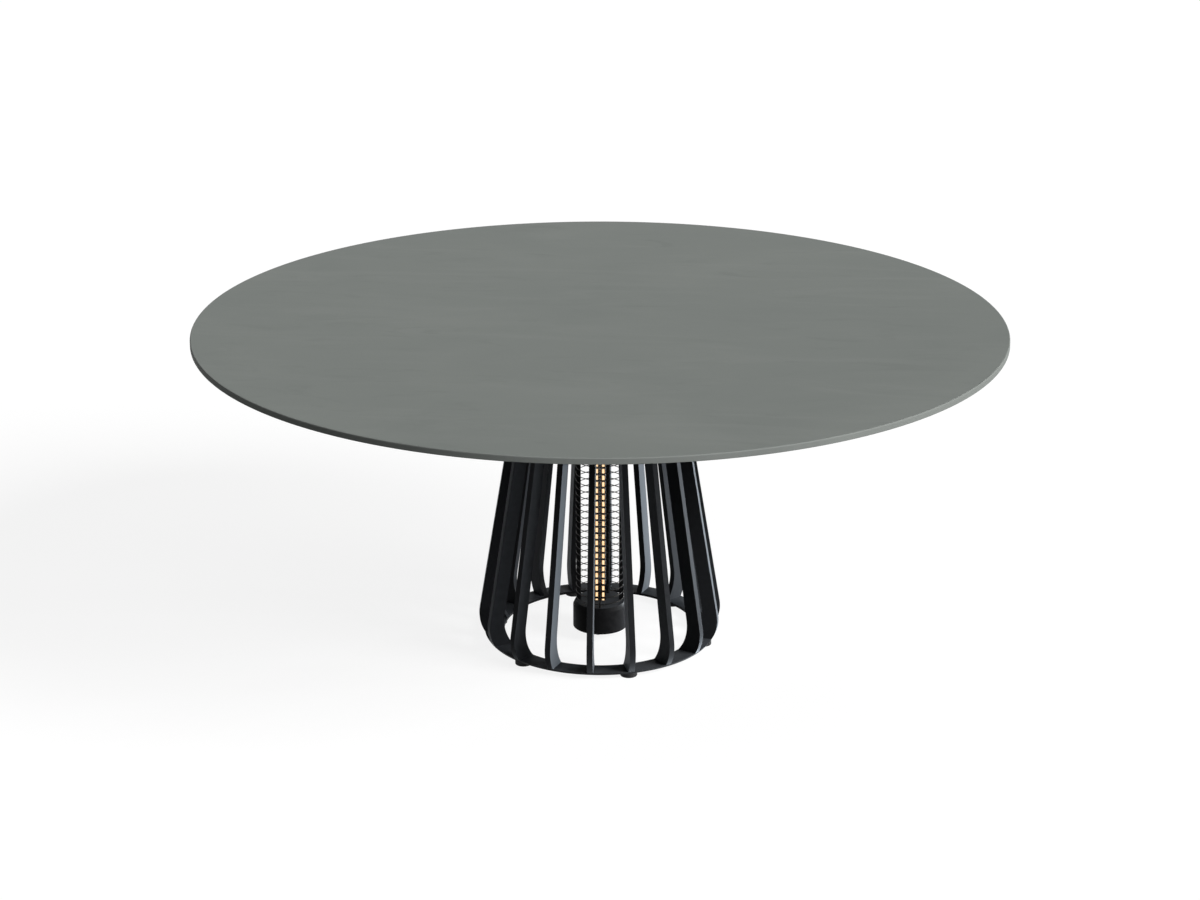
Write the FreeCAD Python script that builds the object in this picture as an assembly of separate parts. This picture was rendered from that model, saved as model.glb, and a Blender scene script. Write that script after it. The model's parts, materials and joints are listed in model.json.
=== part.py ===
import FreeCAD, Part
import math
import os

from FreeCAD import Vector

# A low round table for the terrace: a ceramic disc on a cage of eighteen leaning fins, with an electric
# radiant heater hung on the axis of the cage. Millimetres and degrees. The origin is on the floor under
# the centre of the top, +Z is up, and angles round the axis start at the front (-Y) and grow towards +X.

# Table top
TABLE_HEIGHT = 665.0
TOP_DIAMETER = 1600.0
TOP_THICKNESS = 12.0
TOP_EDGE_ROUND = 1.5
TOP_PAD_THICKNESS = 2.0
TOP_PAD_DIAMETER = 40.0
INSERT_DIAMETER = 12.0
INSERT_LENGTH = 8.0
TOP_SCREW_DIAMETER = 6.0
TOP_SCREW_ENGAGEMENT = 6.5
TOP_SCREW_HEAD_DIAMETER = 12.0
TOP_SCREW_HEAD_HEIGHT = 4.0

# Star plate under the top
STAR_THICKNESS = 6.0
STAR_REACH = 500.0
STAR_ARM_ROOT_WIDTH = 110.0
STAR_ARM_TIP_WIDTH = 60.0
STAR_INNER_PAD_EDGE = 4.0
STAR_BOLT_DIAMETER = 8.0
STAR_BOLT_HEAD_DIAMETER = 15.0
STAR_BOLT_HEAD_HEIGHT = 4.0

# Cage of fins
FIN_COUNT = 18
FIN_THICKNESS = 12.0
FIN_LEAN = 9.6
FIN_WIDTH_TOP = 26.0
FIN_WIDTH_LOW = 29.0
FIN_BEND_RADIUS = 75.0
FIN_SHOE_HEIGHT = 82.0
BASE_DIAMETER = 494.0
BELLY_HEIGHT = 54.0
HEAD_PLATE_THICKNESS = 6.0
HEAD_PLATE_OVERHANG = 3.0
FOOT_RING_WIDTH = 36.7
FOOT_RING_THICKNESS = 5.0
FIN_SCREW_DIAMETER = 6.0
FIN_SCREW_ENGAGEMENT = 20.0
FIN_SCREW_HEAD_DIAMETER = 11.0
FIN_SCREW_HEAD_HEIGHT = 3.0
FIN_SCREW_INSET = 7.5

# Levelling feet, one under every third fin
FOOT_COUNT = 6
FIRST_FOOT_FIN = 2
FOOT_PAD_DIAMETER = 34.0
FOOT_PAD_HEIGHT = 10.0
FOOT_PAD_EDGE = 1.5
FOOT_STUD_DIAMETER = 6.0
FOOT_STUD_ENGAGEMENT = 24.0
FOOT_STUD_SPACING = 8.7
FOOT_ANCHOR_DIAMETER = 12.0
FOOT_ANCHOR_HEIGHT = 3.0
FOOT_ANCHOR_COVER = 3.0

# Heater housings
HEATER_DIAMETER = 110.0
HEATER_WALL = 2.0
HEATER_DECK_WALL = 3.0
HEATER_DECK_DIAMETER = 101.0
HEATER_SHOULDER_HEIGHT = 9.0
HEATER_FLOOR_GAP = 20.0
HEATER_BASE_HEIGHT = 55.0
HEATER_HEAD_DROP = 64.0
HEATER_FLANGE_WIDTH = 20.0
HEATER_FLANGE_THICKNESS = 2.0
HEATER_LID_THICKNESS = 1.5
HEATER_SCREW_COUNT = 6
HEATER_SCREW_DIAMETER = 4.0
HEATER_SCREW_ENGAGEMENT = 5.0
HEATER_SCREW_HEAD_DIAMETER = 8.0
HEATER_SCREW_HEAD_HEIGHT = 2.2
COVER_THICKNESS = 2.5
COVER_BOSS_COUNT = 3
COVER_BOSS_DIAMETER = 10.0
COVER_BOSS_HEIGHT = 14.0

# Wire guard and tie rods between the housings
GUARD_DIAMETER = 99.0
GUARD_WIRE = 2.0
GUARD_PITCH = 14.0
GUARD_END_GAP = 9.0
GUARD_RING_SIDES = 20
GUARD_BAR = 3.0
GUARD_BAR_COUNT = 4
GUARD_TURN = 5.0
GUARD_WELD = 0.4
ROD_TURN = -20.0
ROD_DIAMETER = 8.0
ROD_THREAD_DIAMETER = 6.0
ROD_BORE = 3.0
ROD_GUARD_GAP = 2.5
ROD_END_LENGTH = 2.0
NUT_WIDTH = 10.0
NUT_HEIGHT = 5.0

# Radiant lamps
TUBE_DIAMETER = 10.0
TUBE_WALL = 1.0
LAMP_CAP_WALL = 1.2
LAMP_CAP_LENGTH = 14.0
LAMP_CAP_RECESS = 4.0
LAMP_GAP = 1.0
STRIP_WIDTH = 5.0
STRIP_THICKNESS = 0.6
SOCKET_WALL = 4.0
SOCKET_BACK = 4.0
SOCKET_NECK = 8.0

# Supply terminals and cable gland
TERMINAL_LENGTH = 30.0
TERMINAL_DEPTH = 14.0
TERMINAL_HEIGHT = 16.0
TERMINAL_GAP = 8.0
TERMINAL_WELL_DIAMETER = 5.0
TERMINAL_WELL_DEPTH = 8.0
TERMINAL_WELL_PITCH = 9.0
TERMINAL_WELL_COUNT = 3
GLAND_BORE = 8.4
GLAND_THREAD_DIAMETER = 16.0
GLAND_THREAD_LENGTH = 12.0
GLAND_HEX_WIDTH = 20.0
GLAND_HEX_LENGTH = 6.0
GLAND_NUT_DIAMETER = 19.0
GLAND_NUT_LENGTH = 12.0
GLAND_NUT_ROUND = 3.0
GLAND_RISE = 24.0

# Clearances
SCREW_CLEARANCE = 0.1
PASS_CLEARANCE = 0.3
STUD_CLEARANCE = 0.08
MOULD_CLEARANCE = 0.1
HEAD_RECESS = 0.3
BLIND_CLEARANCE = 2.0
HOUSING_CLEARANCE = 1.0
STAR_HOLE_CLEARANCE = 3.0
LID_CLEARANCE = 0.2
TUBE_CLEARANCE = 0.4
LAMP_CAP_CLEARANCE = 0.2
GLAND_CLEARANCE = 0.2

# Levels, from the floor up and from the top down
RING_BOTTOM = FOOT_PAD_HEIGHT
FIN_BOTTOM = RING_BOTTOM + FOOT_RING_THICKNESS
TOP_BOTTOM = TABLE_HEIGHT - TOP_THICKNESS
STAR_TOP = TOP_BOTTOM - TOP_PAD_THICKNESS
STAR_BOTTOM = STAR_TOP - STAR_THICKNESS
FIN_TOP = STAR_BOTTOM - HEAD_PLATE_THICKNESS
HEATER_BOTTOM = HEATER_FLOOR_GAP
DECK_TOP = HEATER_BOTTOM + HEATER_BASE_HEIGHT
DECK_UNDER = DECK_TOP - HEATER_DECK_WALL
COVER_TOP = HEATER_BOTTOM + COVER_THICKNESS
HEAD_BOTTOM = FIN_TOP - HEATER_HEAD_DROP
HEAD_FLOOR = HEAD_BOTTOM + HEATER_DECK_WALL
FLANGE_TOP = STAR_BOTTOM + HEATER_FLANGE_THICKNESS
LID_TOP = FLANGE_TOP + HEATER_LID_THICKNESS

# Fin edges in plan: the outer edge is a straight lean that bends in tangentially to the foot ring
LEAN = math.radians(FIN_LEAN)
BEND_CENTRE = BASE_DIAMETER / 2 - FIN_BEND_RADIUS
BEND_TOP = BELLY_HEIGHT + FIN_BEND_RADIUS * math.sin(LEAN)
BEND_TOP_RADIUS = BEND_CENTRE + FIN_BEND_RADIUS * math.cos(LEAN)
FIN_STEP = 360.0 / FIN_COUNT


def outer_radius(z):
    """How far a fin's outer edge is from the axis at a height."""
    if z >= BEND_TOP:
        return BEND_TOP_RADIUS - math.tan(LEAN) * (z - BEND_TOP)
    return BEND_CENTRE + math.sqrt(FIN_BEND_RADIUS**2 - (z - BELLY_HEIGHT) ** 2)


def inner_radius(z):
    """How far the straight part of a fin's inner edge is from the axis at a height."""
    share = (z - BEND_TOP) / (FIN_TOP - BEND_TOP)
    straight_outer = BEND_TOP_RADIUS - math.tan(LEAN) * (z - BEND_TOP)
    return straight_outer - FIN_WIDTH_LOW - share * (FIN_WIDTH_TOP - FIN_WIDTH_LOW)


# Places round the axis
RING_OUTER = outer_radius(RING_BOTTOM)
RING_INNER = RING_OUTER - FOOT_RING_WIDTH
LOWER_SCREW_RADIUS = RING_OUTER - FIN_SCREW_INSET
STUD_RADIUS = LOWER_SCREW_RADIUS - FOOT_STUD_SPACING
UPPER_SCREW_RADIUS = (outer_radius(FIN_TOP) + inner_radius(FIN_TOP)) / 2
HEAD_PLATE_RADIUS = outer_radius(FIN_TOP) + HEAD_PLATE_OVERHANG
HEATER_RADIUS = HEATER_DIAMETER / 2
HEATER_INNER = HEATER_RADIUS - HEATER_WALL
DECK_RADIUS = HEATER_DECK_DIAMETER / 2
FLANGE_RADIUS = HEATER_RADIUS + HEATER_FLANGE_WIDTH
HEATER_HOLE = HEATER_RADIUS + HOUSING_CLEARANCE
HEATER_SCREW_RADIUS = (HEATER_HOLE + FLANGE_RADIUS) / 2
STAR_HOLE = FLANGE_RADIUS + STAR_HOLE_CLEARANCE
STAR_BOLT_RADIUS = (STAR_HOLE + inner_radius(FIN_TOP)) / 2
ARM_TIP_RADIUS = STAR_REACH - STAR_ARM_TIP_WIDTH / 2
INNER_PAD_RADIUS = HEAD_PLATE_RADIUS - TOP_PAD_DIAMETER / 2 - STAR_INNER_PAD_EDGE
COVER_BOSS_RADIUS = HEATER_INNER - COVER_BOSS_DIAMETER / 2 + HEATER_WALL / 2
GUARD_INNER = GUARD_DIAMETER / 2 - GUARD_WIRE / 2
BAR_INNER = GUARD_INNER + GUARD_WELD - GUARD_BAR
ROD_RADIUS = BAR_INNER - ROD_GUARD_GAP - ROD_DIAMETER / 2
LAMP_CAP_DIAMETER = TUBE_DIAMETER + 2 * LAMP_CAP_WALL
LAMP_OFFSET = (LAMP_CAP_DIAMETER + LAMP_GAP) / 2
SOCKET_BORE = LAMP_CAP_DIAMETER + 2 * LAMP_CAP_CLEARANCE
SOCKET_DEPTH = SOCKET_BORE + 2 * SOCKET_WALL
SOCKET_LENGTH = 2 * LAMP_OFFSET + SOCKET_DEPTH
SOCKET_HEIGHT = SOCKET_NECK + LAMP_CAP_LENGTH + SOCKET_BACK
LAMP_LOW = DECK_UNDER - SOCKET_NECK - LAMP_CAP_LENGTH
LAMP_HIGH = HEAD_FLOOR + SOCKET_NECK + LAMP_CAP_LENGTH
TUBE_LOW = LAMP_LOW + LAMP_CAP_LENGTH - LAMP_CAP_RECESS
TUBE_HIGH = LAMP_HIGH - LAMP_CAP_LENGTH + LAMP_CAP_RECESS
GLAND_ANGLE = (FIN_COUNT // 2 + 0.5) * FIN_STEP
GLAND_LEVEL = HEATER_BOTTOM + GLAND_RISE

UP = Vector(0, 0, 1)
AXIS = Vector(0, 0, 0)


def polar(radius, angle, z=0.0):
    """The point at a distance from the axis, an angle from the front and a height."""
    turn = math.radians(angle)
    return Vector(radius * math.sin(turn), -radius * math.cos(turn), z)


def turned(shape, angle):
    copy = shape.copy()
    copy.rotate(AXIS, UP, angle)
    return copy


def rod(diameter, low, high, place=AXIS):
    return Part.makeCylinder(diameter / 2, high - low, Vector(place.x, place.y, low))


def block(length, depth, low, high, place=AXIS):
    corner = Vector(place.x - length / 2, place.y - depth / 2, low)
    return Part.makeBox(length, depth, high - low, corner)


def spun(profile):
    """A solid of revolution about Z from (radius, height) corners."""
    corners = [Vector(radius, 0, z) for radius, z in profile]
    face = Part.Face(Part.makePolygon(corners + corners[:1]))
    return face.revolve(AXIS, UP, 360)


def polygon_bar(sides, across_flats, low, high):
    """An upright bar with a regular outline, one flat facing the front."""
    corner_radius = across_flats / 2 / math.cos(math.pi / sides)
    corners = [polar(corner_radius, (k + 0.5) * 360 / sides, low) for k in range(sides)]
    return Part.Face(Part.makePolygon(corners + corners[:1])).extrude(UP * (high - low))


def placed(shape, place):
    copy = shape.copy()
    copy.translate(place)
    return copy


def around(count, radius, first=0.0):
    """Evenly spaced places on a circle about the axis."""
    return [polar(radius, first + k * 360 / count) for k in range(count)]


def countersunk(shank, head, head_height, seat, length, point, gap=0.0):
    """A flat-headed screw, or its hole when a gap is given. The head's face is at seat, and point is +1 for a
    screw that runs up from it and -1 for one that runs down."""
    neck = seat + point * head_height
    end = seat + point * length
    mouth = seat - point * HEAD_RECESS if gap else seat
    profile = [(0, mouth), (head / 2 + gap, mouth), (head / 2 + gap, seat), (shank / 2 + gap, neck)]
    return spun(profile + [(shank / 2 + gap, end), (0, end)])


def pan_screw(shank, head, head_height, seat, length, point):
    """A screw whose flat head sits on a face at seat and whose shank runs up (+1) or down (-1) from it."""
    crown = seat - point * head_height
    end = seat + point * length
    profile = [(0, crown), (head / 2, crown), (head / 2, seat), (shank / 2, seat), (shank / 2, end)]
    return spun(profile + [(0, end)])


def fin_angles():
    return [k * FIN_STEP for k in range(FIN_COUNT)]


def foot_angles():
    return [(FIRST_FOOT_FIN - 1 + k * (FIN_COUNT // FOOT_COUNT)) * FIN_STEP for k in range(FOOT_COUNT)]


def tip_places():
    return [polar(ARM_TIP_RADIUS, angle) for angle in foot_angles()]


def table_top():
    slab = rod(TOP_DIAMETER, TOP_BOTTOM, TABLE_HEIGHT)
    rims = [edge for edge in slab.Edges if edge.Closed]
    slab = slab.makeFillet(TOP_EDGE_ROUND, rims)
    hole = rod(INSERT_DIAMETER + 2 * SCREW_CLEARANCE, TOP_BOTTOM, TOP_BOTTOM + INSERT_LENGTH)
    return slab.cut([placed(hole, place) for place in tip_places()])


def top_inserts():
    bush = rod(INSERT_DIAMETER, TOP_BOTTOM, TOP_BOTTOM + INSERT_LENGTH)
    thread = rod(TOP_SCREW_DIAMETER + 2 * SCREW_CLEARANCE, TOP_BOTTOM, TOP_BOTTOM + INSERT_LENGTH)
    return [placed(bush.cut(thread), place) for place in tip_places()]


def top_screws():
    length = STAR_THICKNESS + TOP_PAD_THICKNESS + TOP_SCREW_ENGAGEMENT
    sizes = (TOP_SCREW_DIAMETER, TOP_SCREW_HEAD_DIAMETER, TOP_SCREW_HEAD_HEIGHT)
    screw = pan_screw(*sizes, STAR_BOTTOM, length, 1)
    return [placed(screw, place) for place in tip_places()]


def top_pads():
    """Soft discs between the star plate and the slab: one round each arm's screw and one at its root."""
    disc = rod(TOP_PAD_DIAMETER, STAR_TOP, TOP_BOTTOM)
    hole = rod(TOP_SCREW_DIAMETER + 2 * PASS_CLEARANCE, STAR_TOP, TOP_BOTTOM)
    tips = [placed(disc.cut(hole), place) for place in tip_places()]
    return tips + [placed(disc, polar(INNER_PAD_RADIUS, angle)) for angle in foot_angles()]


def support_star():
    plate = rod(2 * HEAD_PLATE_RADIUS, STAR_BOTTOM, STAR_TOP)
    root = STAR_ARM_ROOT_WIDTH / 2
    tip = STAR_ARM_TIP_WIDTH / 2
    corners = [(-root, 0), (root, 0), (tip, -ARM_TIP_RADIUS), (-tip, -ARM_TIP_RADIUS)]
    outline = [Vector(x, y, STAR_BOTTOM) for x, y in corners]
    bar = Part.Face(Part.makePolygon(outline + outline[:1])).extrude(UP * STAR_THICKNESS)
    arm = bar.fuse(rod(STAR_ARM_TIP_WIDTH, STAR_BOTTOM, STAR_TOP, polar(ARM_TIP_RADIUS, 0)))
    plate = plate.fuse([turned(arm, angle) for angle in foot_angles()]).removeSplitter()
    tip_hole = rod(TOP_SCREW_DIAMETER + 2 * PASS_CLEARANCE, STAR_BOTTOM, STAR_TOP)
    bolt_hole = star_bolt(SCREW_CLEARANCE)
    holes = [placed(tip_hole, place) for place in tip_places()]
    holes += [placed(bolt_hole, place) for place in star_bolt_places()]
    return plate.cut(holes + [rod(2 * STAR_HOLE, STAR_BOTTOM, STAR_TOP)])


def star_bolt_places():
    return [polar(STAR_BOLT_RADIUS, angle + 180 / FOOT_COUNT) for angle in foot_angles()]


def star_bolt(gap=0.0):
    length = STAR_THICKNESS + HEAD_PLATE_THICKNESS - HEAD_RECESS
    sizes = (STAR_BOLT_DIAMETER, STAR_BOLT_HEAD_DIAMETER, STAR_BOLT_HEAD_HEIGHT)
    return countersunk(*sizes, STAR_TOP - HEAD_RECESS, length, -1, gap)


def star_bolts():
    return [placed(star_bolt(), place) for place in star_bolt_places()]


def heater_screw():
    length = HEATER_LID_THICKNESS + HEATER_FLANGE_THICKNESS + HEATER_SCREW_ENGAGEMENT
    sizes = (HEATER_SCREW_DIAMETER, HEATER_SCREW_HEAD_DIAMETER, HEATER_SCREW_HEAD_HEIGHT)
    return pan_screw(*sizes, LID_TOP, length, -1)


def heater_screws():
    return [placed(heater_screw(), place) for place in around(HEATER_SCREW_COUNT, HEATER_SCREW_RADIUS)]


def heater_screw_holes(low, high):
    hole = rod(HEATER_SCREW_DIAMETER + 2 * SCREW_CLEARANCE, low, high)
    return [placed(hole, place) for place in around(HEATER_SCREW_COUNT, HEATER_SCREW_RADIUS)]


def head_plate():
    """The disc that ties the fins' upper ends, carries the star plate and hangs the heater."""
    plate = rod(2 * HEAD_PLATE_RADIUS, FIN_TOP, STAR_BOTTOM)
    holes = [rod(2 * HEATER_HOLE, FIN_TOP, STAR_BOTTOM)]
    sunk_hole = upper_fin_screw(SCREW_CLEARANCE)
    holes += [placed(sunk_hole, polar(UPPER_SCREW_RADIUS, angle)) for angle in fin_angles()]
    thread = rod(STAR_BOLT_DIAMETER + 2 * SCREW_CLEARANCE, FIN_TOP, STAR_BOTTOM)
    holes += [placed(thread, place) for place in star_bolt_places()]
    return plate.cut(holes + heater_screw_holes(FIN_TOP, STAR_BOTTOM))


def upper_fin_screw(gap=0.0):
    length = HEAD_PLATE_THICKNESS - HEAD_RECESS + FIN_SCREW_ENGAGEMENT
    sizes = (FIN_SCREW_DIAMETER, FIN_SCREW_HEAD_DIAMETER, FIN_SCREW_HEAD_HEIGHT)
    return countersunk(*sizes, STAR_BOTTOM - HEAD_RECESS, length, -1, gap)


def lower_fin_screw(gap=0.0):
    length = FOOT_RING_THICKNESS - HEAD_RECESS + FIN_SCREW_ENGAGEMENT
    sizes = (FIN_SCREW_DIAMETER, FIN_SCREW_HEAD_DIAMETER, FIN_SCREW_HEAD_HEIGHT)
    return countersunk(*sizes, RING_BOTTOM + HEAD_RECESS, length, 1, gap)


def fin_screws_upper():
    return [placed(upper_fin_screw(), polar(UPPER_SCREW_RADIUS, angle)) for angle in fin_angles()]


def fin_screws_lower():
    return [placed(lower_fin_screw(), polar(LOWER_SCREW_RADIUS, angle)) for angle in fin_angles()]


def shoe_arc():
    """The arc that turns a fin's inner edge in to the foot ring, tangent to the straight part above it."""
    start = polar(inner_radius(FIN_SHOE_HEIGHT), 0, FIN_SHOE_HEIGHT)
    end = polar(RING_INNER, 0, FIN_BOTTOM)
    slope = polar(inner_radius(FIN_TOP), 0, FIN_TOP) - start
    normal = Vector(0, slope.z, -slope.y).normalize()
    chord = start - end
    radius = -chord.Length**2 / (2 * normal.dot(chord))
    centre = start + normal * radius
    middle = centre + ((start - centre) + (end - centre)).normalize() * radius
    return Part.Arc(end, middle, start)


def fin_blank():
    """One flat fin at the front, before its screw holes."""
    levels = (FIN_TOP, BEND_TOP, (BEND_TOP + FIN_BOTTOM) / 2, FIN_BOTTOM)
    outer_top, bend_top, bend_middle, outer_foot = [polar(outer_radius(z), 0, z) for z in levels]
    inner_top = polar(inner_radius(FIN_TOP), 0, FIN_TOP)
    shoe = shoe_arc()
    edges = [
        Part.LineSegment(outer_top, bend_top),
        Part.Arc(bend_top, bend_middle, outer_foot),
        Part.LineSegment(outer_foot, shoe.StartPoint),
        shoe,
        Part.LineSegment(shoe.EndPoint, inner_top),
        Part.LineSegment(inner_top, outer_top),
    ]
    face = Part.Face(Part.Wire([edge.toShape() for edge in edges]))
    face.translate(Vector(-FIN_THICKNESS / 2, 0, 0))
    return face.extrude(Vector(FIN_THICKNESS, 0, 0))


def fin(has_foot):
    bore = rod(FIN_SCREW_DIAMETER + 2 * SCREW_CLEARANCE, 0, FIN_SCREW_ENGAGEMENT + BLIND_CLEARANCE)
    lower = placed(bore, polar(LOWER_SCREW_RADIUS, 0, FIN_BOTTOM))
    upper = placed(bore, polar(UPPER_SCREW_RADIUS, 0, FIN_TOP - FIN_SCREW_ENGAGEMENT - BLIND_CLEARANCE))
    holes = [lower, upper]
    if has_foot:
        end = FIN_BOTTOM + FOOT_STUD_ENGAGEMENT + BLIND_CLEARANCE
        stud_diameter = FOOT_STUD_DIAMETER + 2 * STUD_CLEARANCE
        holes.append(rod(stud_diameter, FIN_BOTTOM, end, polar(STUD_RADIUS, 0)))
    return fin_blank().cut(holes)


def foot_ring():
    """The flat ring under the fins. Its outer edge carries on the fins' bend."""
    lower = [(RING_INNER, RING_BOTTOM), (RING_OUTER, RING_BOTTOM)]
    upper = [(outer_radius(FIN_BOTTOM), FIN_BOTTOM), (RING_INNER, FIN_BOTTOM)]
    stud_hole = rod(FOOT_STUD_DIAMETER + 2 * PASS_CLEARANCE, RING_BOTTOM, FIN_BOTTOM)
    sunk_hole = lower_fin_screw(SCREW_CLEARANCE)
    holes = [placed(sunk_hole, polar(LOWER_SCREW_RADIUS, angle)) for angle in fin_angles()]
    holes += [placed(stud_hole, polar(STUD_RADIUS, angle)) for angle in foot_angles()]
    return spun(lower + upper).cut(holes)


def stud_profile(gap, end):
    anchor_low = FOOT_ANCHOR_COVER - gap
    anchor_high = FOOT_ANCHOR_COVER + FOOT_ANCHOR_HEIGHT + gap
    anchor = FOOT_ANCHOR_DIAMETER / 2 + gap
    stud = FOOT_STUD_DIAMETER / 2 + gap
    disc = [(0, anchor_low), (anchor, anchor_low), (anchor, anchor_high), (stud, anchor_high)]
    return disc + [(stud, end), (0, end)]


def foot_pad(angle):
    """A moulded glide: a disc with eased edges round the stud's anchor."""
    edge = FOOT_PAD_EDGE
    radius = FOOT_PAD_DIAMETER / 2
    lower = [(0, 0), (radius - edge, 0), (radius, edge)]
    upper = [(radius, FOOT_PAD_HEIGHT - edge), (radius - edge, FOOT_PAD_HEIGHT), (0, FOOT_PAD_HEIGHT)]
    disc = spun(lower + upper)
    cavity = spun(stud_profile(MOULD_CLEARANCE, FOOT_PAD_HEIGHT))
    return placed(disc.cut(cavity), polar(STUD_RADIUS, angle))


def foot_stud(angle):
    return placed(spun(stud_profile(0, FIN_BOTTOM + FOOT_STUD_ENGAGEMENT)), polar(STUD_RADIUS, angle))


def heater_floor_holes(low, high):
    """What passes through a housing's deck: two lamps and two tie rods."""
    lamp = rod(TUBE_DIAMETER + 2 * TUBE_CLEARANCE, low, high)
    tie = rod(ROD_THREAD_DIAMETER + 2 * SCREW_CLEARANCE, low, high)
    lamp_holes = [placed(lamp, place) for place in lamp_places()]
    return lamp_holes + [placed(tie, place) for place in rod_places()]


def lamp_places():
    return [Vector(-LAMP_OFFSET, 0, 0), Vector(LAMP_OFFSET, 0, 0)]


def rod_places():
    return around(2, ROD_RADIUS, ROD_TURN)


def heater_head():
    """The upper housing: a cup with a turned-out flange that hangs it in the head plate."""
    shoulder = HEAD_BOTTOM + HEATER_SHOULDER_HEIGHT
    deck = [(0, HEAD_FLOOR), (0, HEAD_BOTTOM), (DECK_RADIUS, HEAD_BOTTOM)]
    outside = [(HEATER_RADIUS, shoulder), (HEATER_RADIUS, STAR_BOTTOM)]
    flange = [(FLANGE_RADIUS, STAR_BOTTOM), (FLANGE_RADIUS, FLANGE_TOP), (HEATER_INNER, FLANGE_TOP)]
    inside = [(HEATER_INNER, shoulder), (DECK_RADIUS - HEATER_WALL, HEAD_FLOOR)]
    holes = heater_floor_holes(HEAD_BOTTOM, HEAD_FLOOR) + heater_screw_holes(STAR_BOTTOM, FLANGE_TOP)
    return spun(deck + outside + flange + inside).cut(holes)


def heater_lid():
    lid = rod(2 * FLANGE_RADIUS, FLANGE_TOP, LID_TOP)
    return lid.cut(heater_screw_holes(FLANGE_TOP, LID_TOP))


def heater_base():
    """The lower housing: a cup turned upside down, with a sloped shoulder and bosses for its cover."""
    shoulder = DECK_TOP - HEATER_SHOULDER_HEIGHT
    outside = [(HEATER_RADIUS, HEATER_BOTTOM), (HEATER_RADIUS, shoulder)]
    deck = [(DECK_RADIUS, DECK_TOP), (0, DECK_TOP), (0, DECK_UNDER), (DECK_RADIUS - HEATER_WALL, DECK_UNDER)]
    inside = [(HEATER_INNER, shoulder), (HEATER_INNER, HEATER_BOTTOM)]
    shell = spun(outside + deck + inside)
    boss = rod(COVER_BOSS_DIAMETER, COVER_TOP, COVER_TOP + COVER_BOSS_HEIGHT)
    shell = shell.fuse([placed(boss, place) for place in cover_boss_places()])
    thread = rod(HEATER_SCREW_DIAMETER + 2 * SCREW_CLEARANCE, COVER_TOP, COVER_TOP + COVER_BOSS_HEIGHT)
    holes = [placed(thread, place) for place in cover_boss_places()]
    holes += heater_floor_holes(DECK_UNDER, DECK_TOP)
    return shell.cut(holes + [gland_shaft(GLAND_THREAD_DIAMETER + 2 * GLAND_CLEARANCE, 0, HEATER_RADIUS)])


def cover_boss_places():
    return around(COVER_BOSS_COUNT, COVER_BOSS_RADIUS)


def base_cover():
    disc = rod(2 * (HEATER_INNER - LID_CLEARANCE), HEATER_BOTTOM, COVER_TOP)
    hole = rod(HEATER_SCREW_DIAMETER + 2 * SCREW_CLEARANCE, HEATER_BOTTOM, COVER_TOP)
    return disc.cut([placed(hole, place) for place in cover_boss_places()])


def cover_screws():
    length = COVER_THICKNESS + HEATER_SCREW_ENGAGEMENT
    sizes = (HEATER_SCREW_DIAMETER, HEATER_SCREW_HEAD_DIAMETER, HEATER_SCREW_HEAD_HEIGHT)
    screw = pan_screw(*sizes, HEATER_BOTTOM, length, 1)
    return [placed(screw, place) for place in cover_boss_places()]


def heater_guard():
    """The welded cage round the lamps: level rings, bent from short flats, on upright bars inside them."""
    levels = int((HEAD_BOTTOM - DECK_TOP - 2 * GUARD_END_GAP) / GUARD_PITCH) + 1
    low = DECK_TOP + GUARD_END_GAP - GUARD_WIRE / 2
    outer = polygon_bar(GUARD_RING_SIDES, GUARD_DIAMETER + GUARD_WIRE, low, low + GUARD_WIRE)
    inner = polygon_bar(GUARD_RING_SIDES, 2 * GUARD_INNER, low, low + GUARD_WIRE)
    ring = outer.cut(inner)
    rings = [placed(ring, UP * GUARD_PITCH * k) for k in range(levels)]
    bar = block(GUARD_BAR, GUARD_BAR, DECK_TOP, HEAD_BOTTOM, polar(BAR_INNER + GUARD_BAR / 2, 0))
    bars = [turned(bar, k * 360 / GUARD_BAR_COUNT) for k in range(GUARD_BAR_COUNT)]
    return turned(bars[0].fuse(bars[1:] + rings), GUARD_TURN)


def tie_rods():
    """Hollow rods that hold the lower housing under the upper one and lead the lamps' wires up."""
    body = rod(ROD_DIAMETER, DECK_TOP, HEAD_BOTTOM)
    low = DECK_UNDER - NUT_HEIGHT - ROD_END_LENGTH
    high = HEAD_FLOOR + NUT_HEIGHT + ROD_END_LENGTH
    tie = body.fuse(rod(ROD_THREAD_DIAMETER, low, high)).cut(rod(ROD_BORE, low, high))
    return [placed(tie, place) for place in rod_places()]


def tie_rod_nuts():
    nuts = []
    for low in (DECK_UNDER - NUT_HEIGHT, HEAD_FLOOR):
        nut = polygon_bar(6, NUT_WIDTH, low, low + NUT_HEIGHT)
        nut = nut.cut(rod(ROD_THREAD_DIAMETER + 2 * SCREW_CLEARANCE, low, low + NUT_HEIGHT))
        nuts += [placed(nut, place) for place in rod_places()]
    return nuts


def quartz_tube(place):
    tube = rod(TUBE_DIAMETER, TUBE_LOW, TUBE_HIGH)
    return placed(tube.cut(rod(TUBE_DIAMETER - 2 * TUBE_WALL, TUBE_LOW, TUBE_HIGH)), place)


def heating_strip(place):
    return block(STRIP_WIDTH, STRIP_THICKNESS, TUBE_LOW, TUBE_HIGH, place)


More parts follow.
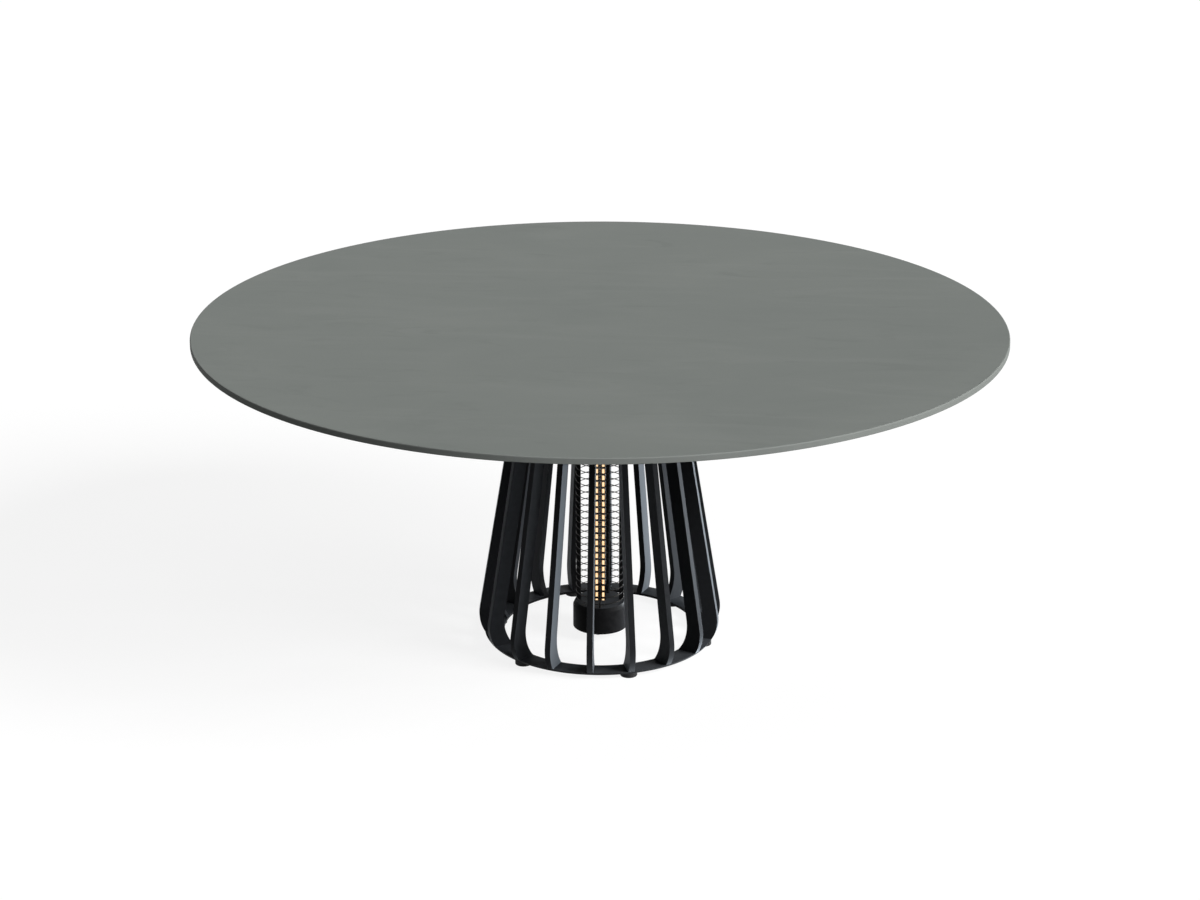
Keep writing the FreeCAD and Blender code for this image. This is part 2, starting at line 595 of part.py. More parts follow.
def lamp_caps():
    """Ceramic end caps, each with a shallow seat for its tube."""
    recess = TUBE_DIAMETER + 2 * SCREW_CLEARANCE
    lower = rod(LAMP_CAP_DIAMETER, LAMP_LOW, LAMP_LOW + LAMP_CAP_LENGTH)
    lower = lower.cut(rod(recess, TUBE_LOW, LAMP_LOW + LAMP_CAP_LENGTH))
    upper = rod(LAMP_CAP_DIAMETER, LAMP_HIGH - LAMP_CAP_LENGTH, LAMP_HIGH)
    upper = upper.cut(rod(recess, LAMP_HIGH - LAMP_CAP_LENGTH, TUBE_HIGH))
    return [placed(cap, place) for cap in (lower, upper) for place in lamp_places()]


def lamp_sockets():
    """Ceramic blocks behind the decks, with two bores each for the lamps' caps."""
    bore = rod(SOCKET_BORE, 0, SOCKET_NECK + LAMP_CAP_LENGTH)
    sockets = []
    for low, bore_low in ((DECK_UNDER - SOCKET_HEIGHT, LAMP_LOW), (HEAD_FLOOR, HEAD_FLOOR)):
        body = block(SOCKET_LENGTH, SOCKET_DEPTH, low, low + SOCKET_HEIGHT)
        sockets.append(body.cut([placed(bore, place + UP * bore_low) for place in lamp_places()]))
    return sockets


def terminal_block():
    place = Vector(0, SOCKET_DEPTH / 2 + TERMINAL_GAP, 0)
    top = COVER_TOP + TERMINAL_HEIGHT
    body = block(TERMINAL_LENGTH, TERMINAL_DEPTH, COVER_TOP, top, place)
    well = rod(TERMINAL_WELL_DIAMETER, top - TERMINAL_WELL_DEPTH, top)
    middle = (TERMINAL_WELL_COUNT - 1) / 2
    spots = [Vector((k - middle) * TERMINAL_WELL_PITCH, place.y, 0) for k in range(TERMINAL_WELL_COUNT)]
    return body.cut([placed(well, spot) for spot in spots])


def gland_shaft(diameter, near, far):
    """A round bar along the gland's axis, between two distances from the table's axis."""
    outward = polar(1, GLAND_ANGLE)
    return Part.makeCylinder(diameter / 2, far - near, outward * near + UP * GLAND_LEVEL, outward)


def gland_hex(near, far):
    hexagon = polygon_bar(6, GLAND_HEX_WIDTH, near, far)
    hexagon.rotate(AXIS, Vector(1, 0, 0), 90)
    return placed(turned(hexagon, GLAND_ANGLE), UP * GLAND_LEVEL)


def cable_gland():
    """The gland's body: a thread through the housing's wall behind a hexagon."""
    seat = HEATER_RADIUS + GLAND_CLEARANCE
    face = seat + GLAND_HEX_LENGTH
    body = gland_shaft(GLAND_THREAD_DIAMETER, seat - GLAND_THREAD_LENGTH, face)
    return body.fuse(gland_hex(seat, face)).cut(gland_shaft(GLAND_BORE, seat - GLAND_THREAD_LENGTH, face))


def gland_nut():
    low = HEATER_RADIUS + GLAND_CLEARANCE + GLAND_HEX_LENGTH
    high = low + GLAND_NUT_LENGTH
    nut = gland_shaft(GLAND_NUT_DIAMETER, low, high)
    ends = [edge for edge in nut.Edges if edge.Closed]
    outer = max(ends, key=lambda edge: edge.CenterOfMass.dot(polar(1, GLAND_ANGLE)))
    return nut.makeFillet(GLAND_NUT_ROUND, [outer]).cut(gland_shaft(GLAND_BORE, low, high))


def save(name, shape):
    """Write one node: a solid, or a list of loose solids as one group."""
    if isinstance(shape, list):
        shape = Part.makeCompound(shape)
    shape.exportStep("parts/" + name + ".step")


def main():
    os.makedirs("parts", exist_ok=True)
    single = [
        table_top, top_inserts, top_screws, top_pads, support_star, star_bolts, head_plate, foot_ring,
        fin_screws_upper, fin_screws_lower, heater_head, heater_lid, heater_screws, heater_base, base_cover,
        cover_screws, heater_guard, tie_rods, tie_rod_nuts, lamp_caps, lamp_sockets, terminal_block,
        cable_gland, gland_nut,
    ]
    for make in single:
        save(make.__name__, make())
    plain_fin = fin(False)
    foot_fin = fin(True)
    for number, angle in enumerate(fin_angles(), 1):
        shape = foot_fin if angle in foot_angles() else plain_fin
        save("fin_%02d" % number, turned(shape, angle))
    for number, angle in enumerate(foot_angles(), 1):
        save("foot_pad_%d" % number, foot_pad(angle))
        save("foot_stud_%d" % number, foot_stud(angle))
    for number, place in enumerate(lamp_places(), 1):
        save("quartz_tube_%d" % number, quartz_tube(place))
        save("heating_strip_%d" % number, heating_strip(place))


main()
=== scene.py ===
import json
import math

import bmesh
import bpy
from mathutils import Matrix, Vector


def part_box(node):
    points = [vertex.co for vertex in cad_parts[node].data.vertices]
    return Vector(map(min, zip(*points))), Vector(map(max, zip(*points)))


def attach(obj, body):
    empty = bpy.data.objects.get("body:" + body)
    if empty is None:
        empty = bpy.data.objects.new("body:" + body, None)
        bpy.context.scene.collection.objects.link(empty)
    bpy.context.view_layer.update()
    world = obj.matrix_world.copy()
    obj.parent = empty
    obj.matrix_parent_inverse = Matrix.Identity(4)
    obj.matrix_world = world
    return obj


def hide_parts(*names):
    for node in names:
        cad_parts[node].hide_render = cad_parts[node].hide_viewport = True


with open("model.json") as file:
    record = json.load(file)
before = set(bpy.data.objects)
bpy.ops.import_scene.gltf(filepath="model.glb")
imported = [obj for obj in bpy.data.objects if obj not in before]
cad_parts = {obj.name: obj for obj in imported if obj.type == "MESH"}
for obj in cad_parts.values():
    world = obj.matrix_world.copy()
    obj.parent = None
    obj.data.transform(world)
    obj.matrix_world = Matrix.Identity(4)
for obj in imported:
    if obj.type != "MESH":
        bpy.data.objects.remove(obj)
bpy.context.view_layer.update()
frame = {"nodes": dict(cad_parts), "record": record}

# A low round table for the terrace, dressed over its solids. Metres. +Z is up and -Y is the front.
BODY = "table"
SLOT_OF = {row["node"]: row["material_slot"] for row in frame["record"]["subparts"]}
FINS = 18
FEET = 6
HEATER_LAMPS = 2
MM = 0.001

# The photograph's view
CAMERA_TURN = math.radians(4.8)
CAMERA_PITCH = math.radians(19.37)
CAMERA_DISTANCE = 4.937
CAMERA_HEIGHT = 2.134
CAMERA_LENS = 78.33
CAMERA_REACH = 200.0
SENSOR_WIDTH = 36.0

# The studio's sizes and levels
FLOOR_SIZE = 60.0
FLOOR_DIFFUSE = 0.17
FLOOR_GLOW = 0.86
WORLD_FILL = 0.1
WHITE = (1.0, 1.0, 1.0, 1.0)
LAMP_DISTANCE = 6.0
SIDE_LAMP_DISTANCE = 4.0
SIDE_LAMP_HEIGHT = 0.26
SIDE_LAMP_AIM = 0.22
SIDE_LAMP_RADIUS = 0.2
SIDE_LAMP_CONE = math.radians(10.5)
SIDE_LAMP_BLEND = 0.35

# Facets and edges of the meshes
ROUND_SIDES = 64
SLAB_SIDES = 360
RING_SIDES = 96
WIRE_SIDES = 10
BAR_SIDES = 20
SIDES_PER_RIB = 8
SLAB_EASE_STEPS = 5
PAD_EASE_STEPS = 4
STRAP_EASE_STEPS = 3
NUT_ROUND_STEPS = 5
RIPPLE_STEPS = 4
BEVEL_SEGMENTS = 2
WELD_DISTANCE = 0.01 * MM
FLAT_ANGLE = math.radians(0.6)
SHARP_ANGLE = math.radians(32)
COUNT_SLACK = 1e-6
EDGE_MARK = "edge"

# The colour mix node's factor and two colours, and its result, by their places among its sockets
MIX_INPUTS = (0, 6, 7)
MIX_OUTPUT = 2

# Eased edges
PLATE_EASE = 0.9 * MM
HOUSING_EASE = 1.2 * MM
SMALL_EASE = 0.5 * MM
SLAB_EASE_ABOVE = 2.4 * MM
SLAB_EASE_BELOW = 1.2 * MM

# The heater's guard, lamps and ribbons
GUARD_DIAMETER = 96.5 * MM
GUARD_WIRE = 1.6 * MM
GUARD_PITCH = 14.1 * MM
GUARD_END_GAP = 8.0 * MM
GUARD_WELD = 0.4 * MM
GUARD_TURN = math.radians(5)
GUARD_BAR = 3.0 * MM
GUARD_BARS = 2
STRAP_WIDTH = 9.6 * MM
STRAP_THICKNESS = 2.4 * MM
STRAP_EASE = 0.6 * MM
QUARTZ_WALL = 1.0 * MM
STRIP_RIPPLE = 0.12 * MM
STRIP_RIPPLE_PITCH = 5.0 * MM
SUPPORT_WIDTH = 6.4 * MM
SUPPORT_DEPTH = 2.2 * MM
SUPPORT_HEIGHT = 4.6 * MM
SUPPORT_EASE = 0.4 * MM
SUPPORT_DROP = 18.5 * MM
SUPPORT_PROFILE = [
    (-SUPPORT_HEIGHT / 2, SUPPORT_EASE), (-SUPPORT_HEIGHT / 2 + SUPPORT_EASE, 0.0),
    (SUPPORT_HEIGHT / 2 - SUPPORT_EASE, 0.0), (SUPPORT_HEIGHT / 2, SUPPORT_EASE)]

# Feet, gland nut and screws. A screw's shank_share is its shank's diameter over its head's.
PAD_EASE = 1.5 * MM
PAD_GROOVE = 0.6 * MM
STUD_RADIUS = 3.0 * MM
STUD_INSET = 3.0 * MM
STUD_NECK = 1.0 * MM
NUT_RIBS = 18
NUT_RIB_DEPTH = 0.6 * MM
NUT_ROUND = 2.6 * MM
NUT_BORE = 8.4 * MM
THREAD_PITCH = 1.0 * MM
THREAD_DEPTH = 0.35 * MM
SOCKET_SHARE = 0.52
SOCKET_DEPTH_SHARE = 0.6
CROWN_SHARE = 0.12
CROWN_BEND_SHARE = 0.3
SCREWS = {
    "top_screws": {"head_height": 4.0 * MM, "shank_share": 6 / 12, "points_up": True},
    "star_bolts": {"head_height": 4.0 * MM, "shank_share": 8 / 15, "points_up": False},
    "heater_screws": {"head_height": 2.2 * MM, "shank_share": 4 / 8, "points_up": False},
    "cover_screws": {"head_height": 2.2 * MM, "shank_share": 4 / 8, "points_up": True},
    "fin_screws_lower": {
        "head_height": 3.0 * MM, "shank_share": 6 / 11, "points_up": True, "countersunk": True},
}


# Materials

class Shader:
    """A material under construction, with short ways to add the nodes that repeat."""

    def __init__(self, name, **settings):
        self.material = bpy.data.materials.new(name)
        self.material.use_nodes = True
        self.nodes = self.material.node_tree.nodes
        self.links = self.material.node_tree.links
        self.bsdf = self.nodes["Principled BSDF"]
        self.place = self.nodes.new("ShaderNodeTexCoord").outputs["Object"]
        for socket, value in settings.items():
            self.bsdf.inputs[socket.replace("_", " ")].default_value = value

    def feed(self, socket, output):
        self.links.new(output, self.bsdf.inputs[socket])

    def stretched(self, scale):
        """The place with each axis scaled, for grain that runs one way."""
        node = self.nodes.new("ShaderNodeMapping")
        node.inputs["Scale"].default_value = scale
        self.links.new(self.place, node.inputs["Vector"])
        return node.outputs["Vector"]

    def noise(self, scale, detail, roughness, distortion=0.0, place=None):
        node = self.nodes.new("ShaderNodeTexNoise")
        node.inputs["Scale"].default_value = scale
        node.inputs["Detail"].default_value = detail
        node.inputs["Roughness"].default_value = roughness
        node.inputs["Distortion"].default_value = distortion
        self.links.new(place or self.place, node.inputs["Vector"])
        return node.outputs["Fac"]

    def ramp(self, factor, stops):
        """Colours along a factor, from (position, colour) stops."""
        node = self.nodes.new("ShaderNodeValToRGB")
        elements = node.color_ramp.elements
        while len(elements) < len(stops):
            elements.new(0.5)
        for element, (position, colour) in zip(elements, stops):
            element.position = position
            element.color = (*colour, 1.0)
        self.links.new(factor, node.inputs["Fac"])
        return node.outputs["Color"]

    def remap(self, value, low, high, out_low, out_high):
        """A value brought smoothly from one range to another."""
        node = self.nodes.new("ShaderNodeMapRange")
        node.interpolation_type = "SMOOTHSTEP"
        node.inputs["From Min"].default_value = low
        node.inputs["From Max"].default_value = high
        node.inputs["To Min"].default_value = out_low
        node.inputs["To Max"].default_value = out_high
        self.links.new(value, node.inputs["Value"])
        return node.outputs["Result"]

    def mix(self, factor, first, second):
        """Two colours mixed by a factor. A colour may be an output or three numbers."""
        node = self.nodes.new("ShaderNodeMix")
        node.data_type = "RGBA"
        for number, value in zip(MIX_INPUTS, (factor, first, second)):
            if isinstance(value, tuple):
                node.inputs[number].default_value = (*value, 1.0)
            else:
                self.links.new(value, node.inputs[number])
        return node.outputs[MIX_OUTPUT]

    def axis(self, name):
        node = self.nodes.new("ShaderNodeSeparateXYZ")
        self.links.new(self.place, node.inputs["Vector"])
        return node.outputs[name]

    def math(self, operation, first, second=0.0):
        """One operation on two values, each an output or a number."""
        node = self.nodes.new("ShaderNodeMath")
        node.operation = operation
        for socket, value in zip(node.inputs, (first, second)):
            if isinstance(value, bpy.types.NodeSocket):
                self.links.new(value, socket)
            else:
                socket.default_value = value
        return node.outputs["Value"]

    def edge_mark(self):
        """The share of an eased edge at a point, which refined pieces store."""
        node = self.nodes.new("ShaderNodeAttribute")
        node.attribute_name = EDGE_MARK
        return node.outputs["Fac"]

    def bump(self, height, strength, distance):
        node = self.nodes.new("ShaderNodeBump")
        node.inputs["Strength"].default_value = strength
        node.inputs["Distance"].default_value = distance
        self.links.new(height, node.inputs["Height"])
        self.feed("Normal", node.outputs["Normal"])


def ceramic_slab():
    """Matt grey sintered stone: soft clouds, faint drawn streaks, a fine grain and an eased rim painted
    paler, partly a paler edge and partly a painted highlight.
    """
    look = Shader("ceramic_slab", Specular_IOR_Level=0.12)
    drawn = look.stretched((0.7, 3.6, 1.0))
    wiped = look.stretched((0.8, 2.6, 1.0))
    clouds = look.noise(2.6, detail=6.0, roughness=0.55, distortion=0.7)
    streaks = look.noise(3.0, detail=5.0, roughness=0.6, distortion=1.2, place=drawn)
    smudges = look.noise(4.2, detail=6.0, roughness=0.62, distortion=1.6, place=wiped)
    grain = look.noise(750.0, detail=3.0, roughness=0.6)
    tone = look.ramp(clouds, [(0.3, (0.164, 0.179, 0.168)), (0.7, (0.2, 0.215, 0.202))])
    tone = look.mix(look.remap(streaks, 0.45, 0.75, 0.0, 0.3), tone, (0.23, 0.243, 0.229))
    tone = look.mix(look.remap(smudges, 0.55, 0.75, 0.0, 0.35), tone, (0.135, 0.147, 0.139))
    tone = look.mix(look.remap(grain, 0.35, 0.65, 0.0, 0.25), tone, (0.15, 0.162, 0.153))
    # Painted highlight: the eased rim is mixed up to a quarter of the way towards a paler grey, standing
    # partly for light along the edge.
    rim = look.remap(look.edge_mark(), 0.2, 1.0, 0.0, 0.25)
    look.feed("Base Color", look.mix(rim, tone, (0.28, 0.292, 0.282)))
    look.feed("Roughness", look.remap(clouds, 0.3, 0.7, 0.66, 0.78))
    look.bump(grain, strength=0.12, distance=0.15 * MM)
    return look.material


def coated_metal(name, dark, light, wear_and_highlight, roughness, peel_scale, peel, sheen):
    """Black coating: a faint mottle, an orange-peel skin, a cool sheen where it is seen at a low angle, and
    edges painted paler, partly as wear and partly as a painted highlight."""
    look = Shader(
        name, Specular_IOR_Level=0.03,
        Sheen_Weight=sheen, Sheen_Roughness=0.42, Sheen_Tint=(0.84, 0.91, 1.0, 1.0))
    mottle = look.noise(90.0, detail=4.0, roughness=0.6)
    skin = look.noise(peel_scale, detail=2.0, roughness=0.4)
    tone = look.ramp(mottle, [(0.35, dark), (0.65, light)])
    # Painted highlight: the eased edges are mixed towards a paler tone, partly for wear and partly for
    # light caught along them.
    rubbed_and_highlit = look.math("MULTIPLY", look.edge_mark(), look.remap(mottle, 0.35, 0.6, 0.35, 1.0))
    look.feed("Base Color", look.mix(rubbed_and_highlit, tone, wear_and_highlight))
    look.feed("Roughness", look.remap(mottle, 0.3, 0.7, roughness - 0.05, roughness + 0.06))
    look.bump(skin, strength=peel, distance=0.1 * MM)
    return look.material


def guard_steel():
    """Dark wire with faint brown and blue heat tints along its height."""
    look = Shader("guard_wire", Metallic=1.0)
    patches = look.noise(60.0, detail=4.0, roughness=0.6)
    upright = look.stretched((0.3, 0.3, 1.0))
    tint = look.noise(9.0, detail=2.0, roughness=0.5, distortion=0.4, place=upright)
    plain, brown, blue = (0.007, 0.007, 0.0075), (0.0095, 0.0083, 0.007), (0.006, 0.0065, 0.008)
    tone = look.ramp(tint, [(0.3, plain), (0.55, brown), (0.75, blue)])
    paler = look.remap(patches, 0.4, 0.7, 0.0, 0.4)
    look.feed("Base Color", look.mix(paler, tone, (0.016, 0.015, 0.014)))
    look.feed("Roughness", look.remap(patches, 0.3, 0.7, 0.32, 0.5))
    look.bump(patches, strength=0.1, distance=0.1 * MM)
    return look.material


def turned_metal(name, colour, shade):
    """Turned or plated metal with fine tool lines round it and dull patches."""
    look = Shader(name, Metallic=1.0)
    level = look.stretched((220.0, 220.0, 2600.0))
    lines = look.noise(1.0, detail=3.0, roughness=0.6, place=level)
    patches = look.noise(45.0, detail=4.0, roughness=0.6)
    tone = look.ramp(patches, [(0.35, colour), (0.7, shade)])
    look.feed("Base Color", look.mix(look.remap(lines, 0.4, 0.7, 0.0, 0.3), tone, shade))
    look.feed("Roughness", look.remap(lines, 0.3, 0.7, 0.24, 0.42))
    look.bump(lines, strength=0.08, distance=0.05 * MM)
    return look.material


def moulded(name, dark, light, roughness, grain_scale, gloss=0.35):
    """Moulded plastic, rubber or ceramic with a fine grain."""
    look = Shader(name, Specular_IOR_Level=gloss)
    grain = look.noise(grain_scale, detail=3.0, roughness=0.6)
    wear = look.noise(70.0, detail=4.0, roughness=0.55)
    look.feed("Base Color", look.ramp(wear, [(0.35, dark), (0.7, light)]))
    look.feed("Roughness", look.remap(wear, 0.3, 0.7, roughness - 0.07, roughness + 0.07))
    look.bump(grain, strength=0.3, distance=0.08 * MM)
    return look.material


def quartz():
    """Smoked quartz glass with faint drawn lines."""
    look = Shader(
        "quartz", Transmission_Weight=1.0, IOR=1.46, Specular_IOR_Level=0.2,
        Base_Color=(0.12, 0.11, 0.1, 1.0))
    drawn = look.stretched((900.0, 900.0, 8.0))
    lines = look.noise(1.0, detail=3.0, roughness=0.5, place=drawn)
    look.feed("Roughness", look.remap(lines, 0.35, 0.7, 0.01, 0.06))
    look.bump(lines, strength=0.04, distance=0.03 * MM)
    return look.material


def glowing_ribbon(half_width, offset):
    """Hot carbon ribbon: cream along its middle, orange at its edges, uneven along its length.
    One stands at an offset to each side of the axis."""
    look = Shader("carbon_glow", Roughness=0.7, Base_Color=(0.05, 0.03, 0.02, 1.0), Emission_Strength=11.0)
    across = look.math("SUBTRACT", look.math("ABSOLUTE", look.axis("X")), offset)
    aside = look.math("DIVIDE", look.math("ABSOLUTE", across), half_width)
    woven = look.stretched((300.0, 300.0, 110.0))
    weave = look.noise(1.0, detail=3.0, roughness=0.6, place=woven)
    cool = look.math("ADD", look.remap(aside, 0.45, 1.1, 0.0, 0.75), look.remap(weave, 0.4, 0.75, 0.0, 0.4))
    cream, orange, red = (1.0, 0.82, 0.55), (1.0, 0.6, 0.26), (0.7, 0.24, 0.06)
    look.feed("Emission Color", look.ramp(cool, [(0.1, cream), (0.55, orange), (1.0, red)]))
    look.bump(weave, strength=0.2, distance=0.1 * MM)
    return look.material


def make_finishes():
    """A finish for each material slot of the record, and a coat with less sheen for the foot ring."""
    low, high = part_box("heating_strip_2")
    ribbon = glowing_ribbon((high.x - low.x) / 2, (high.x + low.x) / 2)
    # The paler edge tone is partly wear and partly a painted highlight on the eased edges.
    black = {
        "dark": (0.0045, 0.0045, 0.005), "light": (0.007, 0.007, 0.0078), "wear_and_highlight": (0.014, 0.0145, 0.016),
        "roughness": 0.42, "peel_scale": 1100.0, "peel": 0.14}
    return {
        "ceramic_slab": ceramic_slab(),
        "black_coat": coated_metal("black_coat", sheen=1.0, **black),
        "black_coat_ring": coated_metal("black_coat_ring", sheen=0.2, **black),
        # Its third tone, for the eased edges, is partly wear and partly a painted highlight.
        "heater_coat": coated_metal(
            "heater_coat", (0.005, 0.005, 0.0055), (0.009, 0.009, 0.0095), (0.026, 0.027, 0.029),
            roughness=0.5, peel_scale=1700.0, peel=0.1, sheen=0.1),
        "guard_wire": guard_steel(),
        "steel": turned_metal("steel", (0.56, 0.57, 0.59), (0.4, 0.41, 0.42)),
        "brass": turned_metal("brass", (0.72, 0.53, 0.24), (0.5, 0.36, 0.16)),
        "silicone": moulded(
            "silicone", (0.24, 0.25, 0.26), (0.32, 0.33, 0.34), roughness=0.5, grain_scale=1500.0),
        "foot_plastic": moulded(
            "foot_plastic", (0.009, 0.009, 0.0095), (0.016, 0.016, 0.017), roughness=0.58,
            grain_scale=1400.0, gloss=0.2),
        "quartz": quartz(),
        "carbon_glow": ribbon,
        "lamp_ceramic": moulded(
            "lamp_ceramic", (0.72, 0.69, 0.63), (0.84, 0.82, 0.78), roughness=0.72, grain_scale=1800.0),
        "gland_plastic": moulded(
            "gland_plastic", (0.012, 0.012, 0.013), (0.022, 0.022, 0.024), roughness=0.5,
            grain_scale=1600.0),
    }


# Loops and skins

def turns(sides):
    return [2 * math.pi * k / sides for k in range(sides)]


def quarter(steps, first=0.0):
    """Angles through a quarter turn."""
    return [first + math.pi / 2 * k / steps for k in range(steps + 1)]


def level_loop(reach, z):
    """A level loop about the Z axis, with a reach for each of its even turns."""
    return [Vector((r * math.cos(a), r * math.sin(a), z)) for r, a in zip(reach, turns(len(reach)))]


def round_loop(radius, z, sides=ROUND_SIDES):
    return level_loop([radius] * sides, z)


def hex_loop(across_flats, z):
    """A hexagon sampled at even angles, so that it joins a round loop of as many sides."""
    apothem = across_flats / 2
    sixth = math.pi / 3
    off_flat = [(a + sixth / 2) % sixth - sixth / 2 for a in turns(ROUND_SIDES)]
    return level_loop([apothem / math.cos(a) for a in off_flat], z)


def ribbed_loop(radius, z, sides):
    """A round loop with the nut's grip ribs."""
    sunk = [(0.5 - 0.5 * math.cos(NUT_RIBS * a)) ** 2 for a in turns(sides)]
    return level_loop([radius - NUT_RIB_DEPTH * share for share in sunk], z)


def eased_corner(radius, centre_z, ease, steps, first):
    """Radius and height along a disc's eased edge, through a quarter turn from an angle."""
    angles = quarter(steps, first)
    return [(radius - ease + ease * math.cos(a), centre_z + ease * math.sin(a)) for a in angles]


def lower_corner(radius, low_z, ease, steps):
    return eased_corner(radius, low_z + ease, ease, steps, -math.pi / 2)


def upper_corner(radius, high_z, ease, steps):
    return eased_corner(radius, high_z - ease, ease, steps, 0.0)


def loft(shape, loops, closed=False):
    """Adds a skin through loops of equal length. Its ends are capped, or joined when it is closed."""
    rows = [[shape.verts.new(point) for point in loop] for loop in loops]
    pairs = list(zip(rows, rows[1:]))
    if closed:
        pairs.append((rows[-1], rows[0]))
    for low, high in pairs:
        for k in range(len(low)):
            n = (k + 1) % len(low)
            shape.faces.new((low[k], low[n], high[n], high[k]))
    if not closed:
        shape.faces.new(rows[0][::-1])
        shape.faces.new(rows[-1])
    return rows


def moved(loops, matrix):
    return [[matrix @ point for point in loop] for loop in loops]


def to_middle(low, high):
    """Moves what is made round the Z axis to the middle of a box."""
    return Matrix.Translation(((low.x + high.x) / 2, (low.y + high.y) / 2, 0))


# Pieces made from meshes

def finish_mesh(name, shape, slot, replaced, body=BODY, finish=None):
    """Makes a piece from a bmesh, with its slot's finish or another, and rides it in place of CAD nodes."""
    bmesh.ops.recalc_face_normals(shape, faces=shape.faces)
    mesh = bpy.data.meshes.new(name)
    shape.to_mesh(mesh)
    shape.free()
    for face in mesh.polygons:
        face.use_smooth = True
    mesh.set_sharp_from_angle(angle=SHARP_ANGLE)
    piece = bpy.data.objects.new(name, mesh)
    bpy.context.scene.collection.objects.link(piece)
    mesh.materials.append(FINISHES[finish or slot])
    even = piece.modifiers.new("even_shading", "WEIGHTED_NORMAL")
    even.keep_sharp = True
    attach(piece, body)
    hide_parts(*replaced)


def welded(node):
    """A CAD node's mesh with its doubled points joined."""
    shape = bmesh.new()
    shape.from_mesh(frame["nodes"][node].data)
    bmesh.ops.remove_doubles(shape, verts=shape.verts, dist=WELD_DISTANCE)
    return shape


def refined(node, width, finish=None):
    """A copy of a CAD node with its sharp edges eased, which stands for the node."""
    shape = welded(node)
    bmesh.ops.dissolve_limit(shape, angle_limit=FLAT_ANGLE, verts=shape.verts, edges=shape.edges)
    shape.verts.layers.float.new(EDGE_MARK)
    sharp = [edge for edge in shape.edges if edge.is_manifold and edge.calc_face_angle() > SHARP_ANGLE]
    eased = bmesh.ops.bevel(
        shape, geom=sharp, offset=width, segments=BEVEL_SEGMENTS, profile=0.5, affect="EDGES",
        clamp_overlap=True)
    mark_edges(shape, eased["faces"])
    finish_mesh(node + "_dressed", shape, SLOT_OF[node], [node], finish=finish)


def mark_edges(shape, faces):
    """Stores how far a point is into an eased edge: 1 on its crest and 0 where it runs out into a flat."""
    layer = shape.verts.layers.float[EDGE_MARK]
    eased = set(faces)
    for vertex in shape.verts:
        if vertex.link_faces and all(face in eased for face in vertex.link_faces):
            vertex[layer] = 1.0


def joined_to(start):
    """The vertices that edges join to one, with itself."""
    found = {start}
    front = [start]
    while front:
        vertex = front.pop()
        for edge in vertex.link_edges:
            other = edge.other_vert(vertex)
            if other not in found:
                found.add(other)
                front.append(other)
    return found


def solids(node):
    """The lowest and highest corner of each loose solid of a CAD node, in a steady order."""
    shape = welded(node)
    left = set(shape.verts)
    boxes = []
    while left:
        island = joined_to(next(iter(left)))
        left -= island
        spans = [[vertex.co[axis] for vertex in island] for axis in range(3)]
        boxes.append((Vector(map(min, spans)), Vector(map(max, spans))))
    shape.free()
    return sorted(boxes, key=lambda box: tuple(round(number, 5) for number in (*box[0], *box[1])))


# Screws

def dress_screws(node, head_height, shank_share, points_up, countersunk=False):
    """Socket screws in place of a group of plain ones."""
    shape = bmesh.new()
    for low, high in solids(node):
        head = (high.x - low.x) / 2
        shank = head * shank_share
        face, point = (low.z, high.z) if points_up else (high.z, low.z)
        way = 1 if points_up else -1
        loops = screw_loops(head, shank, face, point, way, head_height, countersunk)
        loft(shape, moved(loops, to_middle(low, high)))
    finish_mesh(node + "_dressed", shape, SLOT_OF[node], [node])


def screw_loops(head, shank, face, point, way, head_height, countersunk):
    """Loops from the bottom of a screw's hexagon socket, over its head and down its shank to the point."""
    socket = 2 * head * SOCKET_SHARE
    floor = face + way * head_height * SOCKET_DEPTH_SHARE
    seat = face + way * head_height
    crown = head * CROWN_SHARE
    bend = crown * CROWN_BEND_SHARE
    loops = [hex_loop(socket, floor), hex_loop(socket, face)]
    if countersunk:
        loops += [round_loop(head - crown / 2, face), round_loop(head, face + way * crown / 2)]
    else:
        loops += [round_loop(head - crown, face), round_loop(head - bend, face + way * bend)]
        loops += [round_loop(head, face + way * crown), round_loop(head, seat)]
    loops.append(round_loop(shank, seat))
    ridges = int(abs(point - seat) / THREAD_PITCH) - 1
    for k in range(ridges):
        loops += thread_turn(shank, seat + way * (k + 0.5) * THREAD_PITCH, way)
    tip = [round_loop(shank - THREAD_DEPTH, point - way * THREAD_DEPTH), round_loop(shank / 2, point)]
    return loops + tip


def thread_turn(radius, start, way):
    """One ridge of a screw thread, from its root to its crest."""
    half = way * THREAD_PITCH / 2
    return [round_loop(radius - THREAD_DEPTH, start), round_loop(radius, start + half)]


# The top and the frame

def dress_slab():
    """The round top, with finer facets than the solid has and a rim eased more above than below."""
    low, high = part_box("table_top")
    rim = lower_corner(high.x, low.z, SLAB_EASE_BELOW, SLAB_EASE_STEPS)
    rim += upper_corner(high.x, high.z, SLAB_EASE_ABOVE, SLAB_EASE_STEPS)
    shape = bmesh.new()
    layer = shape.verts.layers.float.new(EDGE_MARK)
    rows = loft(shape, [round_loop(r, z, SLAB_SIDES) for r, z in rim])
    for row in rows[1:-1]:
        for vertex in row:
            vertex[layer] = 1.0
    finish_mesh("table_top_dressed", shape, SLOT_OF["table_top"], ["table_top"])


def dress_frame():
    """The plates and housings, with their edges eased."""
    plates = ["head_plate", "support_star"] + ["fin_%02d" % number for number in range(1, FINS + 1)]
    for node in plates:
        refined(node, PLATE_EASE)
    refined("foot_ring", PLATE_EASE, finish="black_coat_ring")
    for node in ("heater_base", "heater_head", "base_cover"):
        refined(node, HOUSING_EASE)
    for node in ("cable_gland", "tie_rod_nuts", "lamp_sockets", "terminal_block"):
        refined(node, SMALL_EASE)


def paint_frame():
    """Every CAD node gets its slot's finish, for those that go on showing."""
    for node, piece in frame["nodes"].items():
        piece.data.materials.clear()
        piece.data.materials.append(FINISHES[SLOT_OF[node]])


# The heater

